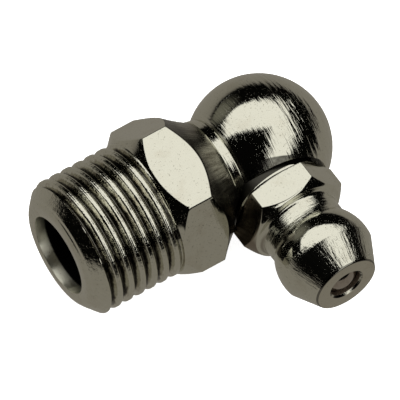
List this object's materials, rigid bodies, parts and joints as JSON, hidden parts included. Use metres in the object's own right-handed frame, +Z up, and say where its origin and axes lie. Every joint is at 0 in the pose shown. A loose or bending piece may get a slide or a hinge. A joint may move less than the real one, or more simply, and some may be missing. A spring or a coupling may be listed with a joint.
{
  "type": "grease nipple",
  "caption": "Right-angle grease nipple: pipe-thread stem, hexagon, ball-shaped elbow and a coned coupler head with a spring-loaded check ball in its face.",
  "frame": {"origin": "on the stem's axis, in the plane where the thread meets the hexagon", "axes": "-X runs along the stem and out of its threaded end; +Z is up with the part lying on one flat of the hexagon; the coupler head points to -Y, 11.7 degrees above the horizontal"},
  "size_m": [0.0209, 0.0182, 0.0103],
  "materials": {
    "elbow_plating": "bright nickel plating over turning marks, with faint stains",
    "head_plating": "bright nickel plating, brushed along the neck",
    "ball_steel": "polished steel ball",
    "spring_steel": "plain spring wire"
  },
  "bodies": {
    "nipple": {"elbow_body": "elbow_plating", "coupler_head": "head_plating", "check_spring": "spring_steel"},
    "valve_ball": {"check_ball": "ball_steel"}
  },
  "joints": [
    {"name": "check_ball_slide", "type": "slide", "parent": "nipple", "child": "valve_ball", "axis": [0, 0.9792, -0.2028], "range_m": [0, 0.001], "stiffness_N_per_m": 1600, "deforming": ["check_spring"]}
  ]
}
